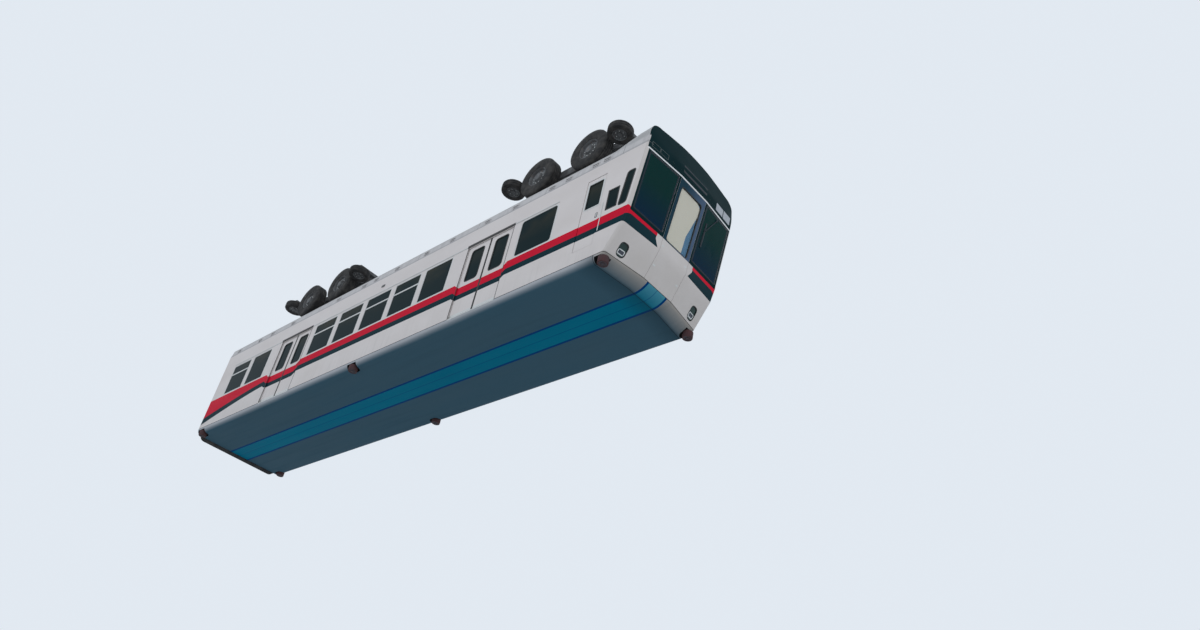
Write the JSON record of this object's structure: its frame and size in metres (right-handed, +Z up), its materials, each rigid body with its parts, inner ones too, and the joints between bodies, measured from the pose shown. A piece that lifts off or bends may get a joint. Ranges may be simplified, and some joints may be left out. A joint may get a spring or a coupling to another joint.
{
  "type": "suspended monorail car",
  "caption": "Cab-end car of a suspended monorail: hollow body with sliding doors, hung by two hangers from rubber-tyred bogies that run inside a box girder.",
  "frame": {"origin": "on the running surface under the tyres, on the car's centre line, midway between the bogies", "axes": "+X towards the cab end, +Y to the car's left, +Z up"},
  "size_m": [15.28, 2.6, 4.642],
  "materials": {
    "body_panel": "semi-gloss paint, road film",
    "belly_paint": "semi-gloss paint",
    "roof_paint": "matt paint, dusty",
    "face_black": "gloss paint",
    "window_frame": "anodised frames, tinted glass",
    "windscreen_glass": "tinted laminated glass",
    "lamp_housing": "dark moulded lamp housing",
    "bellows_rubber": "folded coated fabric",
    "lining": "interior lining panel",
    "cab_steel": "textured paint",
    "seat_cloth": "woven seat cloth",
    "roller": "rubber rim on a painted hub",
    "running_steel": "grey paint with grease and dust",
    "tyre": "rubber tyre on a painted hub",
    "guide_tyre": "solid rubber tyre"
  },
  "bodies": {
    "car_body": {"floor_pan": "belly_paint", "side_wall_right": "body_panel", "side_wall_left": "body_panel", "window_frames_right": "window_frame", "window_frames_left": "window_frame", "roof": "roof_paint", "roof_fairing": "face_black", "roof_unit": "roof_paint", "front_mask": "body_panel", "emergency_door": "body_panel", "rear_wall": "body_panel", "gangway_bellows": "bellows_rubber", "cab_bulkhead": "lining", "cab_fittings": "cab_steel", "windscreen_right": "windscreen_glass", "headlamp_right": "lamp_housing", "seats_right": "seat_cloth", "windscreen_left": "windscreen_glass", "headlamp_left": "lamp_housing", "seats_left": "seat_cloth", "hanger_front": "running_steel", "hanger_rear": "running_steel"},
    "door_front_right_a": {"door_front_right_a": "body_panel"},
    "door_front_right_b": {"door_front_right_b": "body_panel"},
    "door_rear_right_a": {"door_rear_right_a": "body_panel"},
    "door_rear_right_b": {"door_rear_right_b": "body_panel"},
    "crew_door_right": {"crew_door_right": "body_panel"},
    "roller_1_right": {"roller_1_right": "roller"},
    "roller_2_right": {"roller_2_right": "roller"},
    "roller_3_right": {"roller_3_right": "roller"},
    "door_front_left_a": {"door_front_left_a": "body_panel"},
    "door_front_left_b": {"door_front_left_b": "body_panel"},
    "door_rear_left_a": {"door_rear_left_a": "body_panel"},
    "door_rear_left_b": {"door_rear_left_b": "body_panel"},
    "crew_door_left": {"crew_door_left": "body_panel"},
    "roller_1_left": {"roller_1_left": "roller"},
    "roller_2_left": {"roller_2_left": "roller"},
    "roller_3_left": {"roller_3_left": "roller"},
    "coupler": {"coupler": "running_steel"},
    "bogie_front": {"bogie_frame_front": "running_steel"},
    "wheelset_front_1": {"wheelset_front_1": "tyre"},
    "wheelset_front_2": {"wheelset_front_2": "tyre"},
    "guide_wheel_front_1_right": {"guide_wheel_front_1_right": "guide_tyre"},
    "guide_wheel_front_2_right": {"guide_wheel_front_2_right": "guide_tyre"},
    "guide_wheel_front_1_left": {"guide_wheel_front_1_left": "guide_tyre"},
    "guide_wheel_front_2_left": {"guide_wheel_front_2_left": "guide_tyre"},
    "bogie_rear": {"bogie_frame_rear": "running_steel"},
    "wheelset_rear_1": {"wheelset_rear_1": "tyre"},
    "wheelset_rear_2": {"wheelset_rear_2": "tyre"},
    "guide_wheel_rear_1_right": {"guide_wheel_rear_1_right": "guide_tyre"},
    "guide_wheel_rear_2_right": {"guide_wheel_rear_2_right": "guide_tyre"},
    "guide_wheel_rear_1_left": {"guide_wheel_rear_1_left": "guide_tyre"},
    "guide_wheel_rear_2_left": {"guide_wheel_rear_2_left": "guide_tyre"}
  },
  "joints": [
    {"name": "door_front_right_a_slide", "type": "slide", "parent": "car_body", "child": "door_front_right_a", "axis": [1, 0, 0], "range_m": [0, 0.65]},
    {"name": "door_front_right_b_slide", "type": "slide", "parent": "car_body", "child": "door_front_right_b", "axis": [-1, 0, 0], "range_m": [0, 0.65]},
    {"name": "door_rear_right_a_slide", "type": "slide", "parent": "car_body", "child": "door_rear_right_a", "axis": [1, 0, 0], "range_m": [0, 0.65]},
    {"name": "door_rear_right_b_slide", "type": "slide", "parent": "car_body", "child": "door_rear_right_b", "axis": [-1, 0, 0], "range_m": [0, 0.65]},
    {"name": "crew_door_right_hinge", "type": "hinge", "parent": "car_body", "child": "crew_door_right", "pos_m": [6.25, -1.255, 0], "axis": [0, 0, 1], "range_deg": [0, 85]},
    {"name": "roller_1_right_spin", "type": "hinge", "parent": "car_body", "child": "roller_1_right", "pos_m": [6.99, -1.2, 0], "axis": [0, 0, 1], "continuous": true},
    {"name": "roller_2_right_spin", "type": "hinge", "parent": "car_body", "child": "roller_2_right", "pos_m": [-0.3, -1.2, 0], "axis": [0, 0, 1], "continuous": true},
    {"name": "roller_3_right_spin", "type": "hinge", "parent": "car_body", "child": "roller_3_right", "pos_m": [-7.17, -1.2, 0], "axis": [0, 0, 1], "continuous": true},
    {"name": "door_front_left_a_slide", "type": "slide", "parent": "car_body", "child": "door_front_left_a", "axis": [1, 0, 0], "range_m": [0, 0.65]},
    {"name": "door_front_left_b_slide", "type": "slide", "parent": "car_body", "child": "door_front_left_b", "axis": [-1, 0, 0], "range_m": [0, 0.65]},
    {"name": "door_rear_left_a_slide", "type": "slide", "parent": "car_body", "child": "door_rear_left_a", "axis": [1, 0, 0], "range_m": [0, 0.65]},
    {"name": "door_rear_left_b_slide", "type": "slide", "parent": "car_body", "child": "door_rear_left_b", "axis": [-1, 0, 0], "range_m": [0, 0.65]},
    {"name": "crew_door_left_hinge", "type": "hinge", "parent": "car_body", "child": "crew_door_left", "pos_m": [6.25, 1.255, 0], "axis": [0, 0, -1], "range_deg": [0, 85]},
    {"name": "roller_1_left_spin", "type": "hinge", "parent": "car_body", "child": "roller_1_left", "pos_m": [6.99, 1.2, 0], "axis": [0, 0, 1], "continuous": true},
    {"name": "roller_2_left_spin", "type": "hinge", "parent": "car_body", "child": "roller_2_left", "pos_m": [-0.3, 1.2, 0], "axis": [0, 0, 1], "continuous": true},
    {"name": "roller_3_left_spin", "type": "hinge", "parent": "car_body", "child": "roller_3_left", "pos_m": [-7.17, 1.2, 0], "axis": [0, 0, 1], "continuous": true},
    {"name": "coupler_swing", "type": "hinge", "parent": "car_body", "child": "coupler", "pos_m": [-7.1, 0, 0], "axis": [0, 0, 1], "range_deg": [-10, 10]},
    {"name": "bogie_front_yaw", "type": "hinge", "parent": "car_body", "child": "bogie_front", "pos_m": [4.5, 0, 0], "axis": [0, 0, 1], "range_deg": [-6, 6]},
    {"name": "wheelset_front_1_spin", "type": "hinge", "parent": "bogie_front", "child": "wheelset_front_1", "pos_m": [5.25, 0, 0.5], "axis": [0, 1, 0], "continuous": true},
    {"name": "wheelset_front_2_spin", "type": "hinge", "parent": "bogie_front", "child": "wheelset_front_2", "pos_m": [3.75, 0, 0.5], "axis": [0, 1, 0], "continuous": true},
    {"name": "guide_wheel_front_1_right_spin", "type": "hinge", "parent": "bogie_front", "child": "guide_wheel_front_1_right", "pos_m": [6.06, -0.66, 0.56], "axis": [0, 0, 1], "continuous": true},
    {"name": "guide_wheel_front_2_right_spin", "type": "hinge", "parent": "bogie_front", "child": "guide_wheel_front_2_right", "pos_m": [2.94, -0.66, 0.56], "axis": [0, 0, 1], "continuous": true},
    {"name": "guide_wheel_front_1_left_spin", "type": "hinge", "parent": "bogie_front", "child": "guide_wheel_front_1_left", "pos_m": [6.06, 0.66, 0.56], "axis": [0, 0, 1], "continuous": true},
    {"name": "guide_wheel_front_2_left_spin", "type": "hinge", "parent": "bogie_front", "child": "guide_wheel_front_2_left", "pos_m": [2.94, 0.66, 0.56], "axis": [0, 0, 1], "continuous": true},
    {"name": "bogie_rear_yaw", "type": "hinge", "parent": "car_body", "child": "bogie_rear", "pos_m": [-4.5, 0, 0], "axis": [0, 0, 1], "range_deg": [-6, 6]},
    {"name": "wheelset_rear_1_spin", "type": "hinge", "parent": "bogie_rear", "child": "wheelset_rear_1", "pos_m": [-3.75, 0, 0.5], "axis": [0, 1, 0], "continuous": true},
    {"name": "wheelset_rear_2_spin", "type": "hinge", "parent": "bogie_rear", "child": "wheelset_rear_2", "pos_m": [-5.25, 0, 0.5], "axis": [0, 1, 0], "continuous": true},
    {"name": "guide_wheel_rear_1_right_spin", "type": "hinge", "parent": "bogie_rear", "child": "guide_wheel_rear_1_right", "pos_m": [-2.94, -0.66, 0.56], "axis": [0, 0, 1], "continuous": true},
    {"name": "guide_wheel_rear_2_right_spin", "type": "hinge", "parent": "bogie_rear", "child": "guide_wheel_rear_2_right", "pos_m": [-6.06, -0.66, 0.56], "axis": [0, 0, 1], "continuous": true},
    {"name": "guide_wheel_rear_1_left_spin", "type": "hinge", "parent": "bogie_rear", "child": "guide_wheel_rear_1_left", "pos_m": [-2.94, 0.66, 0.56], "axis": [0, 0, 1], "continuous": true},
    {"name": "guide_wheel_rear_2_left_spin", "type": "hinge", "parent": "bogie_rear", "child": "guide_wheel_rear_2_left", "pos_m": [-6.06, 0.66, 0.56], "axis": [0, 0, 1], "continuous": true}
  ]
}
